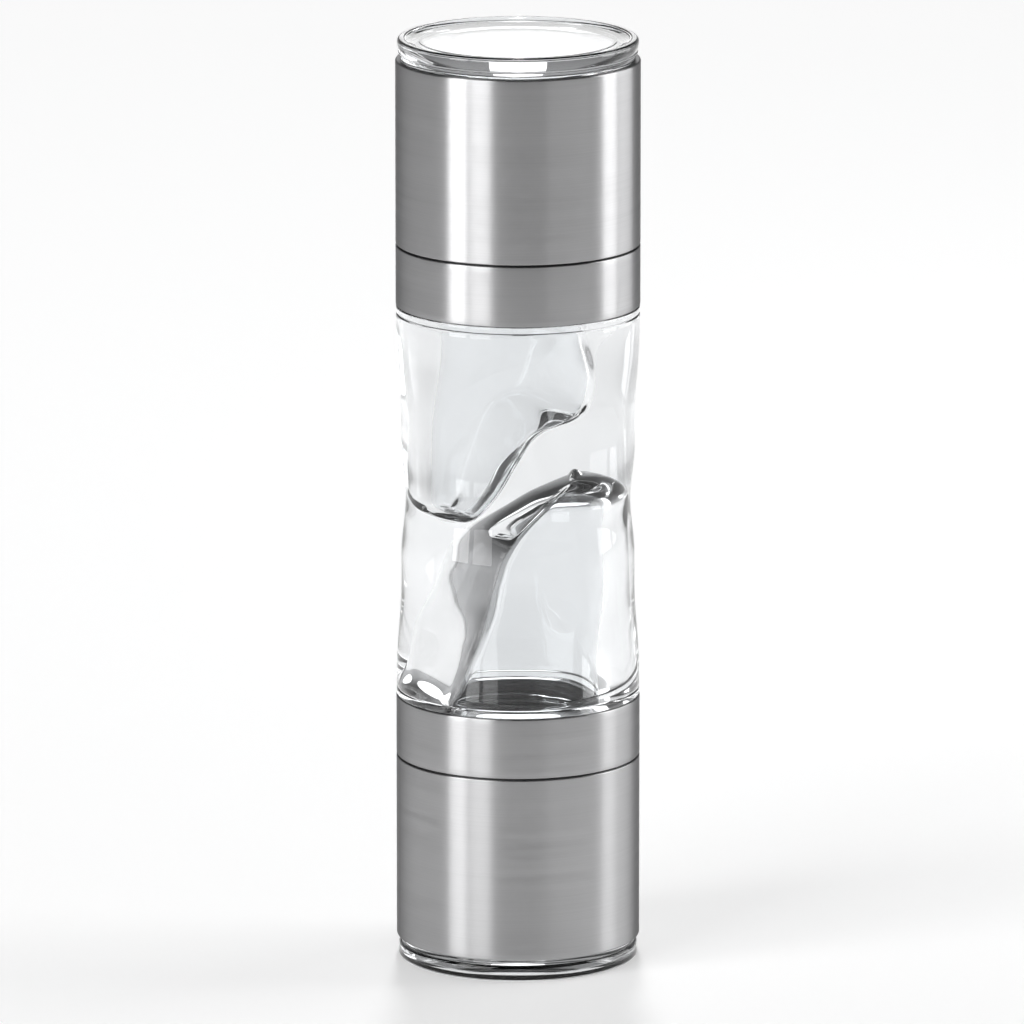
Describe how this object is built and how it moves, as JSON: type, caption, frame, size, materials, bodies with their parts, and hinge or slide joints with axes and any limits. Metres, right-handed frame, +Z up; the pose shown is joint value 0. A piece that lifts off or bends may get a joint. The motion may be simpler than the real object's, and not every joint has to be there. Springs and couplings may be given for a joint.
{
  "type": "two-ended pepper mill",
  "caption": "Slim upright mill for salt and pepper: a clear waisted body with two chambers, and a brushed-steel twist grinder under a clear cap at each end.",
  "frame": {"origin": "centre of the base, on the plane of the lower cap's rim", "axes": "+Z up along the axis of the mill; the two chambers lie beside each other along X, and +Y points away from a viewer who sees them so"},
  "size_m": [0.05, 0.05, 0.192],
  "materials": {
    "clear_acrylic": "clear, polished acrylic, water-white",
    "brushed_steel": "fine brushing around the axis, satin",
    "plain_steel": "plain, lightly polished",
    "screw_steel": "plated",
    "black_plastic": "moulded, fine texture",
    "slip_plastic": "smooth, low friction",
    "burr_ceramic": "fired, unglazed",
    "silicone": "soft, slightly clear"
  },
  "bodies": {
    "clear_body": {"clear_body": "clear_acrylic"},
    "lower_gasket": {"lower_collar_gasket": "silicone"},
    "lower_collar": {"lower_collar": "black_plastic", "lower_ring": "brushed_steel", "lower_glide_washer": "slip_plastic", "lower_retaining_clip": "plain_steel", "lower_spindle": "plain_steel", "lower_burr_spring": "plain_steel"},
    "lower_rotor": {"lower_sleeve": "brushed_steel", "lower_rotor_housing": "black_plastic", "lower_burr_carrier": "black_plastic", "lower_carrier_screws": "screw_steel", "lower_outer_burr": "burr_ceramic"},
    "lower_cap": {"lower_cap": "clear_acrylic", "lower_cap_seal": "silicone"},
    "lower_cone_burr": {"lower_inner_burr": "burr_ceramic"},
    "lower_knob": {"lower_adjusting_knob": "black_plastic"},
    "upper_gasket": {"upper_collar_gasket": "silicone"},
    "upper_collar": {"upper_collar": "black_plastic", "upper_ring": "brushed_steel", "upper_glide_washer": "slip_plastic", "upper_retaining_clip": "plain_steel", "upper_spindle": "plain_steel", "upper_burr_spring": "plain_steel"},
    "upper_rotor": {"upper_sleeve": "brushed_steel", "upper_rotor_housing": "black_plastic", "upper_burr_carrier": "black_plastic", "upper_carrier_screws": "screw_steel", "upper_outer_burr": "burr_ceramic"},
    "upper_cap": {"upper_cap": "clear_acrylic", "upper_cap_seal": "silicone"},
    "upper_cone_burr": {"upper_inner_burr": "burr_ceramic"},
    "upper_knob": {"upper_adjusting_knob": "black_plastic"}
  },
  "joints": [
    {"name": "lower_head_rise", "type": "slide", "parent": "clear_body", "child": "lower_gasket", "axis": [0, 0, -1], "range_m": [0, 0.01156]},
    {"name": "lower_head_unscrew", "type": "hinge", "parent": "lower_gasket", "child": "lower_collar", "pos_m": [0, 0, 0.0495], "axis": [0, 0, -1], "range_deg": [0, 1512]},
    {"name": "lower_grind", "type": "hinge", "parent": "lower_collar", "child": "lower_rotor", "pos_m": [0, 0, 0.036], "axis": [0, 0, -1], "continuous": true},
    {"name": "lower_cap_pull", "type": "slide", "parent": "lower_rotor", "child": "lower_cap", "axis": [0, 0, -1], "range_m": [0, 0.03]},
    {"name": "lower_burr_feed", "type": "slide", "parent": "lower_collar", "child": "lower_cone_burr", "axis": [0, 0, 1], "range_m": [-0.0007, 0.00052], "deforming": ["lower_burr_spring"]},
    {"name": "lower_knob_turn", "type": "hinge", "parent": "lower_cone_burr", "child": "lower_knob", "pos_m": [0, 0, 0.0137], "axis": [0, 0, 1], "range_deg": [-360.5, 270.5]},
    {"name": "upper_head_rise", "type": "slide", "parent": "clear_body", "child": "upper_gasket", "axis": [0, 0, 1], "range_m": [0, 0.01156]},
    {"name": "upper_head_unscrew", "type": "hinge", "parent": "upper_gasket", "child": "upper_collar", "pos_m": [0, 0, 0.1425], "axis": [0, 0, 1], "range_deg": [0, 1512]},
    {"name": "upper_grind", "type": "hinge", "parent": "upper_collar", "child": "upper_rotor", "pos_m": [0, 0, 0.156], "axis": [0, 0, 1], "continuous": true},
    {"name": "upper_cap_pull", "type": "slide", "parent": "upper_rotor", "child": "upper_cap", "axis": [0, 0, 1], "range_m": [0, 0.03]},
    {"name": "upper_burr_feed", "type": "slide", "parent": "upper_collar", "child": "upper_cone_burr", "axis": [0, 0, -1], "range_m": [-0.0007, 0.00052], "deforming": ["upper_burr_spring"]},
    {"name": "upper_knob_turn", "type": "hinge", "parent": "upper_cone_burr", "child": "upper_knob", "pos_m": [0, 0, 0.1783], "axis": [0, 0, -1], "range_deg": [-360.5, 270.5]}
  ],
  "couplings": [
    {"joint": "lower_head_rise", "follows": "lower_head_unscrew", "m_per_rad": 0.00043768},
    {"joint": "lower_knob_turn", "follows": "lower_burr_feed", "rad_per_m": 8976},
    {"joint": "upper_head_rise", "follows": "upper_head_unscrew", "m_per_rad": 0.00043768},
    {"joint": "upper_knob_turn", "follows": "upper_burr_feed", "rad_per_m": 8976}
  ]
}
